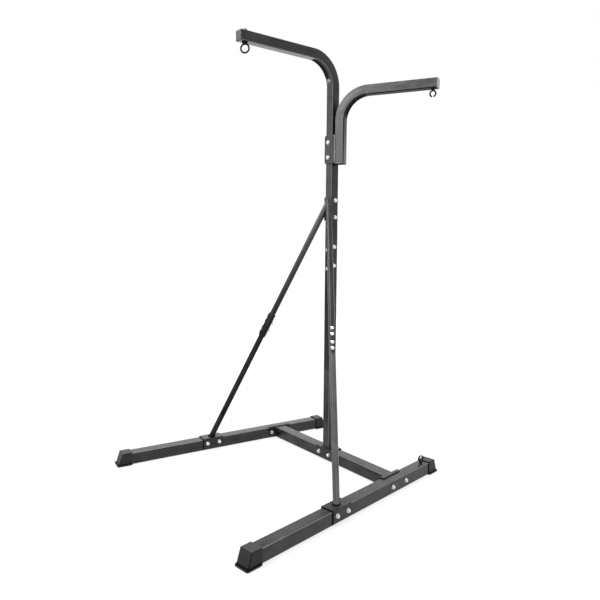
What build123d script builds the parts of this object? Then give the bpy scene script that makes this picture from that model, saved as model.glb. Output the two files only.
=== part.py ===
from build123d import *
import os
from math import cos, degrees, radians, sin

# Two-station punching bag stand, in millimetres, +Z up.
# Two splayed floor rails carry a cross bar, the cross bar carries a square post, and two round
# braces run from the rails to the post. The post bends over into the main arm, and a second,
# lower arm is bolted to its side. The origin is on the floor under the middle of the footprint.
# Every piece is drawn about the foot of the post's axis, and save() shifts it to the origin.
# Front is +X, the way the main arm points, and left is +Y.

# Tubes
rail_size = 63.0
rail_wall = 2.5
rail_corner = 6.0
post_size = 48.0
post_wall = 2.0
post_corner = 4.0
brace_size = 31.0
brace_wall = 2.0
bend_radius = 145.0

# Plates and fits
plate = 5.0
plate_corner = 8.0
plate_bend = 4.0
seat_gap = 0.1
running_gap = 0.3

# Floor frame
rail_spread = 490.0
rail_splay = 7.6
rail_front = 953.0
rail_rear = 313.0
foot_wall = 4.0
foot_sole = 2.0
foot_grip = 47.0
foot_end = 4.0
foot_slope = 24.0
foot_lip = 4.5
foot_lip_height = 10.0
foot_lip_corner = 12.0
foot_lip_round = 3.0
foot_corner = 5.0

# Cross bar end brackets
bracket_length = 140.0
bracket_clearance = 3.0
bracket_lip = 18.0
bracket_bolt_spacing = 110.0
bracket_bolt_rise = 3.0

# Saddles over the square tubes
saddle_drop = 41.0
saddle_bolt_drop = 24.0
brace_foot_length = 120.0
brace_foot_bolt_spacing = 72.0
post_saddle_length = 130.0
post_saddle_bolt_spacing = 80.0

# Post and main arm
joint_height = 1121.0
main_arm_top = 2171.5
main_arm_reach = 576.0
main_eye_setback = 31.0
sleeve_length = 160.0
sleeve_wall = 2.0
splice_bolt_near = 42.0
splice_bolt_far = 58.0

# Braces
brace_foot_place = 438.0
brace_head_offset = 9.0
brace_head_rise = 15.0
brace_bracket_length = 122.0
brace_bracket_rise = 259.0
brace_bracket_depth = 38.0
brace_bolt_spacing = 88.0
gusset_height = 42.0
gusset_depth = 12.0
clamp_place = 759.0
clamp_length = 140.0
clamp_thickness = 4.5
clamp_chord = 27.0
clamp_bolt_near = 20.5
clamp_bolt_pitch = 30.0
brace_joint_gap = 2.0

# Second arm
second_arm_bottom = 1613.0
second_arm_height = 380.5
second_arm_reach = 492.0
second_arm_turn = 117.3
second_arm_shift = -5.0
second_arm_gap = 4.0
second_eye_setback = 23.0
cheek_rise = 2.0
cheek_height = 145.0
cheek_overhang = 4.5
cheek_corner = 10.0
cheek_bolt_spacing = 77.0
cheek_bolt_rise = 70.0

# Tube plugs
plug_flange = 4.0
plug_bevel = 2.5
plug_depth = 12.0
plug_wall = 2.0

# Fasteners
bolt_diameter = 10.0
bolt_hole = 11.0
bolt_hex = 17.0
bolt_head_height = 6.5
bolt_tail = 4.0
nut_height = 8.0
flange_diameter = 21.0
flange_height = 2.0
clamp_bolt_diameter = 8.0
clamp_bolt_hole = 9.0
dome_diameter = 18.0
dome_height = 5.0
clamp_nut_hex = 13.0
clamp_nut_height = 6.5
clamp_bolt_tail = 2.5

# Main eye bolt, forged with a shoulder
main_eye_wire = 8.0
main_eye_radius = 19.5
main_eye_turn = -50.0
shoulder_diameter = 24.0
shoulder_height = 4.0
shank_diameter = 12.0
shank_clearance = 0.1
washer_diameter = 28.0
washer_height = 2.0
dome_nut_hex = 19.0
dome_nut_height = 8.0
dome_nut_radius = 8.5

# Open eyes for a double-end bag
open_eye_wire = 7.5
open_eye_radius = 14.0
open_eye_gap = 7.0
open_shank_diameter = 8.0
open_shank_length = 14.0
jam_nut_hex = 17.0
jam_nut_height = 5.0
weld_nut_hex = 14.0
weld_nut_height = 6.0
floor_eye_place = -238.0
floor_eye_turn = -20.0

# Heights and places that follow from the sizes above
rail_axis = foot_sole + rail_size / 2
rail_top = foot_sole + rail_size
post_foot = rail_top + plate
post_half = post_size / 2
brace_bracket_height = joint_height + brace_bracket_rise
brace_head_height = brace_bracket_height + brace_head_rise
second_arm_top = second_arm_bottom + second_arm_height
cheek_bottom = second_arm_bottom + cheek_rise
cheek_bolt_height = cheek_bottom + cheek_bolt_rise
main_eye_reach = main_arm_reach - main_eye_setback
second_eye_reach = second_arm_reach - second_eye_setback
splay_cos = cos(radians(rail_splay))
splay_sin = sin(radians(rail_splay))

# The footprint reaches from the lip of the rear feet to the lip of the front feet.
foot_outer_width = rail_size + 2 * (seat_gap + foot_wall)
foot_tip = seat_gap + foot_end + foot_slope + foot_lip
lip_side = foot_outer_width / 2 + foot_lip - foot_lip_corner
lip_swing = lip_side * splay_sin + foot_lip_corner
footprint_front = (rail_front + foot_tip - foot_lip_corner) * splay_cos + lip_swing
footprint_rear = (rail_rear + foot_tip - foot_lip_corner) * splay_cos + lip_swing
post_place = Location(((footprint_rear - footprint_front) / 2, 0, 0))


def rail_frame(side):
    """Frame on a rail's axis beside the cross bar: X runs forward along the rail."""
    return Plane(
        origin=(0, side * rail_spread, rail_axis),
        x_dir=(splay_cos, side * splay_sin, 0),
        z_dir=(0, 0, 1),
    )


# Frame of the second arm: its tube stands in a corner-on turn beside the post.
turn_cos = cos(radians(second_arm_turn))
turn_sin = sin(radians(second_arm_turn))
second_arm_side = post_half + second_arm_gap + post_half * (abs(turn_cos) + abs(turn_sin))
second_arm_frame = Plane(
    origin=(second_arm_shift, second_arm_side, 0),
    x_dir=(turn_cos, turn_sin, 0),
    z_dir=(0, 0, 1),
)


def brace_frame(side):
    """Frame at a brace's foot: Z runs up the brace, X points away from the post."""
    foot = rail_frame(side).from_local_coords(Vector(brace_foot_place, 0, rail_size / 2))
    head = Vector(post_half + plate, side * brace_head_offset, brace_head_height)
    axis = (head - foot).normalized()
    outward = Vector(-axis.X, -axis.Y, 0)
    across = outward - axis * outward.dot(axis)
    return Plane(origin=foot, x_dir=across, z_dir=axis)


def save(solid, name, place=Location()):
    """Put a piece in its place on the stand and write it as its own node."""
    placed = solid.moved(post_place * place)
    placed.label = name
    export_step(placed, f"parts/{name}.step")


def tube_section(size, corner, wall):
    """Cross-section of a square tube with rounded corners, in the active sketch."""
    RectangleRounded(size, size, corner)
    bore = size - 2 * wall
    RectangleRounded(bore, bore, corner - wall, mode=Mode.SUBTRACT)


def drill(plane, places, diameter, depth, both=True):
    """Cut round holes in the active part, square to a plane."""
    with BuildSketch(plane) as holes:
        with Locations(*places):
            Circle(diameter / 2)
    extrude(holes.sketch, amount=depth, both=both, mode=Mode.SUBTRACT)


os.makedirs("parts", exist_ok=True)


def pair(spacing, middle=0.0):
    """Two places this far apart on a line, about its middle."""
    return (middle - spacing / 2, middle + spacing / 2)


# Floor rails: square tube with cross holes for the end bracket and the brace foot.
def floor_rail(eye_hole):
    bracket_holes = [(place, bracket_bolt_rise) for place in pair(bracket_bolt_spacing)]
    saddle_level = rail_size / 2 - saddle_bolt_drop
    foot_places = pair(brace_foot_bolt_spacing, brace_foot_place)
    saddle_holes = [(place, saddle_level) for place in foot_places]
    with BuildPart() as rail:
        with BuildSketch(Plane.YZ.offset(-rail_rear)):
            tube_section(rail_size, rail_corner, rail_wall)
        extrude(amount=rail_rear + rail_front)
        drill(Plane.XZ, bracket_holes + saddle_holes, bolt_hole, rail_size)
        if eye_hole:
            eye_bore = open_shank_diameter + 2 * seat_gap
            drill(Plane.XY, [(floor_eye_place, 0)], eye_bore, rail_size, both=False)
    return rail.part


save(floor_rail(True), "left_rail", rail_frame(1).location)
save(floor_rail(False), "right_rail", rail_frame(-1).location)


# Rubber feet: a cap over the rail's end, with a sloping end wall and a rounded lip at the floor.
with BuildPart() as foot_skirt:
    lip_length = foot_grip + foot_tip
    with BuildSketch(Plane.XY.offset(-rail_size / 2 - foot_sole)):
        with Locations((lip_length / 2 - foot_grip, 0)):
            RectangleRounded(lip_length, foot_outer_width + 2 * foot_lip, foot_lip_corner)
    extrude(amount=foot_lip_height)
    skirt_edges = foot_skirt.edges().group_by(Axis.Z)
    fillet(skirt_edges[0] + skirt_edges[-1], foot_lip_round)
with BuildPart() as foot:
    with BuildSketch(Plane.XZ) as foot_side:
        with BuildLine():
            Polyline(
                (-foot_grip, rail_size / 2 + seat_gap + foot_wall),
                (seat_gap + foot_end, rail_size / 2 + seat_gap + foot_wall),
                (seat_gap + foot_end + foot_slope, -rail_size / 2 - foot_sole),
                (-foot_grip, -rail_size / 2 - foot_sole),
                close=True,
            )
        make_face()
    extrude(amount=foot_outer_width / 2, both=True)
    end_wall = foot.faces().sort_by(Axis.X)[-1]
    top_edges = foot.faces().sort_by(Axis.Z)[-1].edges().filter_by(Axis.X)
    fillet(end_wall.edges().filter_by(Axis.Y, reverse=True) + top_edges, foot_corner)
    add(foot_skirt.part)
    with BuildSketch(Plane.YZ.offset(seat_gap)):
        RectangleRounded(rail_size + 2 * seat_gap, rail_size + 2 * seat_gap, rail_corner)
    extrude(amount=-2 * foot_grip, mode=Mode.SUBTRACT)

for side, side_name in ((1, "left"), (-1, "right")):
    rail = rail_frame(side).location
    save(foot.part, f"{side_name}_front_foot", rail * Location((rail_front, 0, 0)))
    save(foot.part, f"{side_name}_rear_foot", rail * Location((-rail_rear, 0, 0), (0, 0, 180)))


# Cross bar between the rails, its ends cut to the splay of the end brackets.
def bracket_face(side):
    """Plane of an end bracket's inner face, facing the middle of the stand."""
    frame = rail_frame(side)
    inner = frame.from_local_coords(Vector(0, -side * (rail_size / 2 + plate), 0))
    return Plane(origin=inner, z_dir=-side * frame.y_dir)


with BuildPart() as cross_bar:
    with BuildSketch(Plane.XZ):
        with Locations((0, rail_axis)):
            tube_section(rail_size, rail_corner, rail_wall)
    extrude(amount=rail_spread, both=True)
    split(bisect_by=bracket_face(1))
    split(bisect_by=bracket_face(-1))
    saddle_level = rail_top - saddle_bolt_drop
    saddle_holes = [(place, saddle_level) for place in pair(post_saddle_bolt_spacing)]
    drill(Plane.YZ, saddle_holes, bolt_hole, rail_size)
save(cross_bar.part, "cross_bar")

# End brackets: a plate against the rail's inner face, with a lip hooked over the rail.
with BuildPart() as end_bracket:
    bracket_bottom = bracket_clearance - rail_size / 2
    with BuildSketch(Plane.YZ):
        with BuildLine():
            Polyline(
                (-rail_size / 2 - plate, bracket_bottom),
                (-rail_size / 2 - plate, rail_size / 2 + plate),
                (-rail_size / 2 + bracket_lip, rail_size / 2 + plate),
                (-rail_size / 2 + bracket_lip, rail_size / 2),
                (-rail_size / 2, rail_size / 2),
                (-rail_size / 2, bracket_bottom),
                close=True,
            )
        make_face()
        bend = vertices().group_by(Axis.X)[0].sort_by(Axis.Y)[-1]
        fillet(bend, plate_bend)
    extrude(amount=bracket_length / 2, both=True)
    bottom_corners = end_bracket.edges().filter_by(Axis.Y).group_by(Axis.Z)[0]
    fillet(bottom_corners, plate_corner)
    lip_corners = end_bracket.edges().filter_by(Axis.Z).group_by(Axis.Y)[-1]
    fillet(lip_corners, plate_bend)
    bracket_holes = [(place, bracket_bolt_rise) for place in pair(bracket_bolt_spacing)]
    drill(Plane.XZ, bracket_holes, bolt_hole, rail_size)
save(end_bracket.part, "left_end_bracket", rail_frame(1).location)
save(end_bracket.part, "right_end_bracket", rail_frame(-1).location * Location((0, 0, 0), (0, 0, 180)))


# Saddles: a U plate over a square tube, which runs along X under it. Z is 0 on the tube's top.
def saddle(length, bolt_spacing):
    with BuildPart() as plate_saddle:
        with BuildSketch(Plane.YZ):
            with Locations((0, (plate - saddle_drop) / 2)):
                Rectangle(rail_size + 2 * plate, plate + saddle_drop)
            fillet(vertices().group_by(Axis.Y)[-1], plate_bend)
            with Locations((0, -saddle_drop / 2)):
                Rectangle(rail_size, saddle_drop, mode=Mode.SUBTRACT)
        extrude(amount=length / 2, both=True)
        flange_corners = plate_saddle.edges().filter_by(Axis.Y).group_by(Axis.Z)[0]
        fillet(flange_corners, plate_corner)
        flange_holes = [(place, -saddle_bolt_drop) for place in pair(bolt_spacing)]
        drill(Plane.XZ, flange_holes, bolt_hole, rail_size)
    return plate_saddle.part


post_saddle = saddle(post_saddle_length, post_saddle_bolt_spacing)
save(post_saddle, "post_saddle", Location((0, 0, rail_top), (0, 0, 90)))
brace_foot = saddle(brace_foot_length, brace_foot_bolt_spacing)
brace_foot_seat = Location((brace_foot_place, 0, rail_size / 2))
save(brace_foot, "left_brace_foot", rail_frame(1).location * brace_foot_seat)
save(brace_foot, "right_brace_foot", rail_frame(-1).location * brace_foot_seat)


splice_x_heights = (joint_height - splice_bolt_far, joint_height + splice_bolt_near)
splice_y_heights = (joint_height - splice_bolt_near, joint_height + splice_bolt_far)
brace_bolt_heights = pair(brace_bolt_spacing, brace_bracket_height)
cheek_bolt_heights = pair(cheek_bolt_spacing, cheek_bolt_height)


def drill_post(plane, heights):
    """Bolt holes right through the post on its centre line, at these heights."""
    drill(plane, [(0, height) for height in heights], bolt_hole, post_size)


# Lower post: square tube standing on the saddle.
with BuildPart() as lower_post:
    with BuildSketch(Plane.XY.offset(post_foot)):
        tube_section(post_size, post_corner, post_wall)
    extrude(amount=joint_height - post_foot)
    drill_post(Plane.YZ, splice_x_heights[:1])
    drill_post(Plane.XZ, splice_y_heights[:1])
save(lower_post.part, "lower_post")

# Splice sleeve: a square tube inside both halves of the post.
post_bore = post_size - 2 * post_wall
insert_size = post_bore - 2 * seat_gap
with BuildPart() as splice_sleeve:
    with BuildSketch(Plane.XY.offset(joint_height)):
        tube_section(insert_size, post_corner, sleeve_wall)
    extrude(amount=sleeve_length / 2, both=True)
    drill_post(Plane.YZ, splice_x_heights)
    drill_post(Plane.XZ, splice_y_heights)
save(splice_sleeve.part, "splice_sleeve")


# Bent arms: a square tube that goes up from its bottom and bends over forward at its top.
def bent_tube(bottom, top, reach):
    with BuildLine() as path:
        FilletPolyline(
            (0, 0, bottom),
            (0, 0, top - post_half),
            (reach, 0, top - post_half),
            radius=bend_radius,
        )
    with BuildSketch(Plane.XY.offset(bottom)) as section:
        tube_section(post_size, post_corner, post_wall)
    sweep(sections=section.sketch, path=path.line)


with BuildPart() as upper_post:
    bent_tube(joint_height, main_arm_top, main_arm_reach)
    drill_post(Plane.YZ, splice_x_heights[1:] + cheek_bolt_heights)
    drill_post(Plane.XZ, splice_y_heights[1:] + brace_bolt_heights)
    eye_bore = shank_diameter + 2 * shank_clearance
    eye_plane = Plane.XY.offset(main_arm_top - post_half)
    drill(eye_plane, [(main_eye_reach, 0)], eye_bore, post_size)
save(upper_post.part, "upper_post")

with BuildPart() as second_arm:
    bent_tube(second_arm_bottom, second_arm_top, second_arm_reach)
    eye_bore = open_shank_diameter + 2 * seat_gap
    eye_plane = Plane.XY.offset(second_arm_top - post_half)
    drill(eye_plane, [(second_eye_reach, 0)], eye_bore, -post_size, both=False)
save(second_arm.part, "second_arm", second_arm_frame.location)

# Tube plugs: a bevelled cap, with a hollow stub that fills the tube. The tube ends at Z = 0.
with BuildPart() as tube_plug:
    with BuildSketch():
        RectangleRounded(post_size, post_size, post_corner)
    extrude(amount=plug_flange)
    chamfer(tube_plug.faces().sort_by(Axis.Z)[-1].edges(), plug_bevel)
    with BuildSketch():
        tube_section(insert_size, post_corner, plug_wall)
    extrude(amount=-plug_depth)
arm_tip_turn = (0, 90, 0)
main_tip = Location((main_arm_reach, 0, main_arm_top - post_half), arm_tip_turn)
second_tip = Location((second_arm_reach, 0, second_arm_top - post_half), arm_tip_turn)
second_foot = Location((0, 0, second_arm_bottom), (180, 0, 0))
save(tube_plug.part, "main_arm_plug", main_tip)
save(tube_plug.part, "second_arm_tip_plug", second_arm_frame.location * second_tip)
save(tube_plug.part, "second_arm_foot_plug", second_arm_frame.location * second_foot)


# Clasp cheeks: two plates welded to the second arm's tube, one on each side of the post.
def clasp_cheek(face_x, arm_face):
    with BuildPart() as cheek:
        with BuildSketch(Plane.YZ.offset(face_x)):
            back = -post_half - cheek_overhang
            reach = second_arm_side - back
            with Locations((back, cheek_bottom)):
                Rectangle(reach, cheek_height, align=(Align.MIN, Align.MIN))
            fillet(vertices().group_by(Axis.X)[0], cheek_corner)
            with Locations(*[(0, height) for height in cheek_bolt_heights]):
                Circle(bolt_hole / 2, mode=Mode.SUBTRACT)
        extrude(amount=plate)
        split(bisect_by=arm_face)
    return cheek.part


arm_x = second_arm_frame.x_dir
arm_y = second_arm_frame.y_dir
front_arm_face = Plane(origin=second_arm_frame.origin - arm_x * post_half, z_dir=-arm_x)
rear_arm_face = Plane(origin=second_arm_frame.origin + arm_y * post_half, z_dir=arm_y)
save(clasp_cheek(post_half, front_arm_face), "clasp_front_cheek")
save(clasp_cheek(-post_half - plate, rear_arm_face), "clasp_rear_cheek")

# Brace bracket: a U plate round the front of the post, with a gusset under each brace.
web_face = post_half + plate
with BuildPart() as brace_bracket:
    bracket_back = web_face - brace_bracket_depth
    with BuildSketch(Plane.XY.offset(brace_bracket_height)):
        with Locations((bracket_back, 0)):
            Rectangle(brace_bracket_depth, post_size + 2 * plate, align=(Align.MIN, Align.CENTER))
        fillet(vertices().group_by(Axis.X)[-1], plate_bend)
        with Locations((bracket_back, 0)):
            Rectangle(
                brace_bracket_depth - plate,
                post_size,
                align=(Align.MIN, Align.CENTER),
                mode=Mode.SUBTRACT,
            )
    extrude(amount=brace_bracket_length / 2, both=True)
    back_corners = brace_bracket.edges().filter_by(Axis.Y).group_by(Axis.X)[0]
    fillet(back_corners, plate_corner)
    drill_post(Plane.XZ, brace_bolt_heights)
save(brace_bracket.part, "brace_bracket")


# Braces: each is an upper and a lower round tube, butted inside a pair of clamp plates.
def clamp_places():
    """Distances of the clamp bolts from the foot, two on each side of the joint."""
    far = clamp_bolt_near + clamp_bolt_pitch
    offsets = (-far, -clamp_bolt_near, clamp_bolt_near, far)
    return [clamp_place + offset for offset in offsets]


def bolt_plane(frame):
    """Plane through a brace's axis that its clamp bolts stand on: X runs up the brace."""
    return Plane(origin=frame.origin, x_dir=frame.z_dir, z_dir=frame.x_dir)


def brace_tube(frame, start, length, hole_places):
    """Round tube up a brace's axis in the active part, with its clamp bolt holes."""
    with BuildSketch(frame.offset(start)) as section:
        Circle(brace_size / 2)
        Circle(brace_size / 2 - brace_wall, mode=Mode.SUBTRACT)
    extrude(section.sketch, amount=length)
    holes = [(place, 0) for place in hole_places]
    drill(bolt_plane(frame), holes, clamp_bolt_hole, brace_size)


lower_brace_end = clamp_place - brace_joint_gap / 2
upper_brace_start = clamp_place + brace_joint_gap / 2
brace_span = (brace_head_height - rail_top) / brace_frame(1).z_dir.Z


def lower_brace(side):
    with BuildPart() as brace:
        frame = brace_frame(side)
        brace_tube(frame, -brace_size, lower_brace_end + brace_size, clamp_places()[:2])
        split(bisect_by=Plane.XY.offset(post_foot))
    return brace.part


def upper_brace(side):
    with BuildPart() as brace:
        frame = brace_frame(side)
        length = brace_span + 4 * brace_size - upper_brace_start
        brace_tube(frame, upper_brace_start, length, clamp_places()[2:])
        split(bisect_by=Plane.YZ.offset(web_face))
        split(bisect_by=Plane(origin=(0, 0, 0), z_dir=(0, side, 0)))
    return brace.part


def brace_gusset(side):
    """Small web plate in the crotch between a brace's underside and the bracket."""
    frame = brace_frame(side)
    run = Vector(frame.z_dir.X, frame.z_dir.Y, 0)
    fall = frame.z_dir.Z / run.length
    head = frame.origin + frame.z_dir * brace_span
    crotch = head - Vector(0, 0, brace_size / 2 / run.length)
    with BuildPart() as gusset:
        with BuildSketch(Plane(origin=crotch, x_dir=-run, z_dir=Vector(0, 0, 1).cross(run))):
            with BuildLine():
                Polyline(
                    (-plate, plate * fall),
                    (gusset_depth, -gusset_depth * fall),
                    (0, -gusset_height),
                    (-plate, -gusset_height),
                    close=True,
                )
            make_face()
        extrude(amount=plate / 2, both=True)
        split(bisect_by=Plane.YZ.offset(web_face))
    return gusset.part


def brace_clamp(side, face):
    """Curved plate on the outer (face 1) or inner (face -1) side of a brace."""
    frame = brace_frame(side)
    with BuildPart() as clamp:
        with BuildSketch(frame.offset(clamp_place)):
            Circle(brace_size / 2 + clamp_thickness)
            Circle(brace_size / 2, mode=Mode.SUBTRACT)
        extrude(amount=clamp_length / 2, both=True)
        with BuildSketch(bolt_plane(frame)):
            with Locations((clamp_place, 0)):
                RectangleRounded(clamp_length, clamp_chord, plate_corner)
        extrude(amount=face * brace_size, mode=Mode.INTERSECT)
        holes = [(place, 0) for place in clamp_places()]
        drill(bolt_plane(frame), holes, clamp_bolt_hole, brace_size)
    return clamp.part


for side, side_name in ((1, "left"), (-1, "right")):
    save(lower_brace(side), f"{side_name}_lower_brace")
    save(upper_brace(side), f"{side_name}_upper_brace")
    save(brace_clamp(side, 1), f"{side_name}_outer_brace_clamp")
    save(brace_clamp(side, -1), f"{side_name}_inner_brace_clamp")
    save(brace_gusset(side), f"{side_name}_brace_gusset")


# Fasteners, each drawn with its bearing face at Z = 0 and its shank down the -Z side.
def hex_bolt(grip):
    with BuildPart() as bolt:
        with BuildSketch():
            Circle(flange_diameter / 2)
        extrude(amount=flange_height)
        with BuildSketch():
            RegularPolygon(bolt_hex / 2, 6, major_radius=False)
        extrude(amount=bolt_head_height)
        with BuildSketch():
            Circle(bolt_diameter / 2)
        extrude(amount=-(grip + nut_height + bolt_tail))
    return bolt.part


def hex_nut(grip):
    with BuildPart() as nut:
        with BuildSketch(Plane.XY.offset(-grip)):
            Circle(flange_diameter / 2)
        extrude(amount=-flange_height)
        with BuildSketch(Plane.XY.offset(-grip)):
            RegularPolygon(bolt_hex / 2, 6, major_radius=False)
        extrude(amount=-nut_height)
        with BuildSketch(Plane.XY.offset(-grip)):
            Circle(bolt_diameter / 2)
        extrude(amount=-nut_height, mode=Mode.SUBTRACT)
    return nut.part


def dome_bolt(grip):
    with BuildPart() as bolt:
        with BuildSketch(Plane.XZ):
            with BuildLine():
                half_head = dome_diameter / 2
                half_shank = clamp_bolt_diameter / 2
                tip = -(grip + clamp_nut_height + clamp_bolt_tail)
                dome_radius = (half_head**2 + dome_height**2) / (2 * dome_height)
                RadiusArc((0, dome_height), (half_head, 0), dome_radius)
                Polyline((half_head, 0), (half_shank, 0), (half_shank, tip), (0, tip))
                Line((0, tip), (0, dome_height))
            make_face()
        revolve(axis=Axis.Z)
    return bolt.part


def clamp_nut(grip):
    with BuildPart() as nut:
        with BuildSketch(Plane.XY.offset(-grip)):
            RegularPolygon(clamp_nut_hex / 2, 6, major_radius=False)
            Circle(clamp_bolt_diameter / 2, mode=Mode.SUBTRACT)
        extrude(amount=-clamp_nut_height)
    return nut.part


def save_fasteners(name, bolt, nut, seats):
    """Write a set of like bolts and their nuts, one node each."""
    with BuildPart() as bolts:
        with Locations(*seats):
            add(bolt)
    with BuildPart() as nuts:
        with Locations(*seats):
            add(nut)
    save(bolts.part, f"{name}_bolts")
    save(nuts.part, f"{name}_nuts")


def across(origin, direction):
    """Seat on a bearing face whose outward normal is the given direction."""
    return Plane(origin=origin, z_dir=direction).location


# Bolts through the end brackets and the rails, heads on the bracket side.
bracket_grip = plate + rail_size
bracket_seats = []
for side in (1, -1):
    frame = rail_frame(side)
    inner = -side * (rail_size / 2 + plate)
    for place in (-bracket_bolt_spacing / 2, bracket_bolt_spacing / 2):
        seat = frame.from_local_coords(Vector(place, inner, bracket_bolt_rise))
        bracket_seats.append(across(seat, frame.y_dir * -side))
save_fasteners("end_bracket", hex_bolt(bracket_grip), hex_nut(bracket_grip), bracket_seats)

# Bolts through the brace feet and the rails, heads on the inner side.
saddle_grip = rail_size + 2 * plate
brace_foot_seats = []
for side in (1, -1):
    frame = rail_frame(side)
    inner = -side * (rail_size / 2 + plate)
    for offset in (-brace_foot_bolt_spacing / 2, brace_foot_bolt_spacing / 2):
        local = Vector(brace_foot_place + offset, inner, rail_size / 2 - saddle_bolt_drop)
        brace_foot_seats.append(across(frame.from_local_coords(local), frame.y_dir * -side))
save_fasteners("brace_foot", hex_bolt(saddle_grip), hex_nut(saddle_grip), brace_foot_seats)

# Bolts through the post saddle and the cross bar, heads at the back.
post_saddle_seats = []
for place in (-post_saddle_bolt_spacing / 2, post_saddle_bolt_spacing / 2):
    seat = Vector(-rail_size / 2 - plate, place, rail_top - saddle_bolt_drop)
    post_saddle_seats.append(across(seat, (-1, 0, 0)))
save_fasteners("post_saddle", hex_bolt(saddle_grip), hex_nut(saddle_grip), post_saddle_seats)

# Bolts through the splice, two along X and two along Y.
splice_seats = []
for height in splice_x_heights:
    splice_seats.append(across((post_half, 0, height), (1, 0, 0)))
for height in splice_y_heights:
    splice_seats.append(across((0, post_half, height), (0, 1, 0)))
save_fasteners("splice", hex_bolt(post_size), hex_nut(post_size), splice_seats)

# Bolts through the brace bracket and the post.
post_grip = post_size + 2 * plate
brace_bracket_seats = []
for height in brace_bolt_heights:
    brace_bracket_seats.append(across((0, post_half + plate, height), (0, 1, 0)))
save_fasteners("brace_bracket", hex_bolt(post_grip), hex_nut(post_grip), brace_bracket_seats)

# Bolts through the clasp cheeks and the post.
clasp_seats = []
for height in cheek_bolt_heights:
    clasp_seats.append(across((post_half + plate, 0, height), (1, 0, 0)))
save_fasteners("clasp", hex_bolt(post_grip), hex_nut(post_grip), clasp_seats)

# Dome-headed bolts through the brace clamps, heads on the outer side.
clamp_grip = brace_size + 2 * clamp_thickness
clamp_seats = []
for side in (1, -1):
    frame = brace_frame(side)
    for place in clamp_places():
        seat = frame.from_local_coords(Vector(clamp_grip / 2, 0, place))
        clamp_seats.append(across(seat, frame.x_dir))
save_fasteners("brace_clamp", dome_bolt(clamp_grip), clamp_nut(clamp_grip), clamp_seats)

# Main eye bolt: it hangs from its dome nut and turns in the main arm. Z is 0 at the arm's
# underside.
main_eye_place = Location((main_eye_reach, 0, main_arm_top - post_size), (0, 0, main_eye_turn))
shoulder_top = -running_gap - washer_height
ring_drop = main_eye_radius + main_eye_wire / 2 + shoulder_height - main_eye_wire / 4
with BuildPart() as main_eye:
    with BuildSketch(Plane.XY.offset(shoulder_top - shoulder_height)):
        Circle(shoulder_diameter / 2)
    extrude(amount=shoulder_height)
    with BuildSketch(Plane.XY.offset(shoulder_top)):
        Circle(shank_diameter / 2)
    extrude(amount=post_size + dome_nut_height - shoulder_top)
    with BuildSketch(Plane.XY.offset(shoulder_top - ring_drop)):
        with Locations((main_eye_radius, 0)):
            Circle(main_eye_wire / 2)
    revolve(axis=Axis((0, 0, shoulder_top - ring_drop), (0, 1, 0)))
save(main_eye.part, "main_eye", main_eye_place)

with BuildPart() as main_eye_washer:
    with BuildSketch(Plane.XY.offset(shoulder_top)):
        Circle(washer_diameter / 2)
        Circle(shank_diameter / 2, mode=Mode.SUBTRACT)
    extrude(amount=washer_height)
save(main_eye_washer.part, "main_eye_washer", main_eye_place)

with BuildPart() as main_eye_nut:
    with BuildSketch(Plane.XY.offset(post_size + running_gap)):
        RegularPolygon(dome_nut_hex / 2, 6, major_radius=False)
    extrude(amount=dome_nut_height)
    with Locations((0, 0, post_size + running_gap + dome_nut_height)):
        Sphere(dome_nut_radius, arc_size1=0)
    drill(Plane.XY, [(0, 0)], shank_diameter, post_size + dome_nut_height, both=False)
save(main_eye_nut.part, "main_eye_nut", main_eye_place)

# Open eyes: wire bent into a ring with a gap opposite its shank. Z is 0 on the tube's face,
# and the ring stands above it.
open_ring_height = jam_nut_height + open_eye_radius + open_eye_wire / 2
gap_turn = degrees(open_eye_gap / 2 / open_eye_radius)
with BuildPart() as open_eye:
    with BuildSketch(Plane.XY.offset(-open_shank_length)):
        Circle(open_shank_diameter / 2)
    extrude(amount=open_shank_length + open_ring_height - open_eye_radius)
    with BuildLine(Plane.XZ) as open_ring:
        ring_middle = (0, open_ring_height)
        CenterArc(ring_middle, open_eye_radius, 90 + gap_turn, 360 - 2 * gap_turn)
    with BuildSketch(Plane(origin=open_ring.line @ 0, z_dir=open_ring.line % 0)):
        Circle(open_eye_wire / 2)
    sweep(path=open_ring.line)
with BuildPart() as jam_nut:
    with BuildSketch():
        RegularPolygon(jam_nut_hex / 2, 6, major_radius=False)
        Circle(open_shank_diameter / 2, mode=Mode.SUBTRACT)
    extrude(amount=jam_nut_height)
second_eye_place = second_arm_frame.location * Location(
    (second_eye_reach, 0, second_arm_top - post_size), (180, 0, 0)
)
floor_eye_seat = rail_frame(1).location * Location(
    (floor_eye_place, 0, rail_size / 2), (0, 0, floor_eye_turn)
)


def weld_nut(wall):
    """Nut welded inside a tube, behind a wall of this thickness."""
    with BuildPart() as nut:
        with BuildSketch(Plane.XY.offset(-wall)):
            RegularPolygon(weld_nut_hex / 2, 6, major_radius=False)
            Circle(open_shank_diameter / 2, mode=Mode.SUBTRACT)
        extrude(amount=-weld_nut_height)
    return nut.part


save(open_eye.part, "second_arm_eye", second_eye_place)
save(jam_nut.part, "second_arm_eye_jam_nut", second_eye_place)
save(weld_nut(post_wall), "second_arm_eye_weld_nut", second_eye_place)
save(open_eye.part, "floor_eye", floor_eye_seat)
save(jam_nut.part, "floor_eye_jam_nut", floor_eye_seat)
save(weld_nut(rail_wall), "floor_eye_weld_nut", floor_eye_seat)
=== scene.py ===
import math

import bmesh
import bpy
import numpy as np
from mathutils import Matrix, Quaternion, Vector


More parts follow.
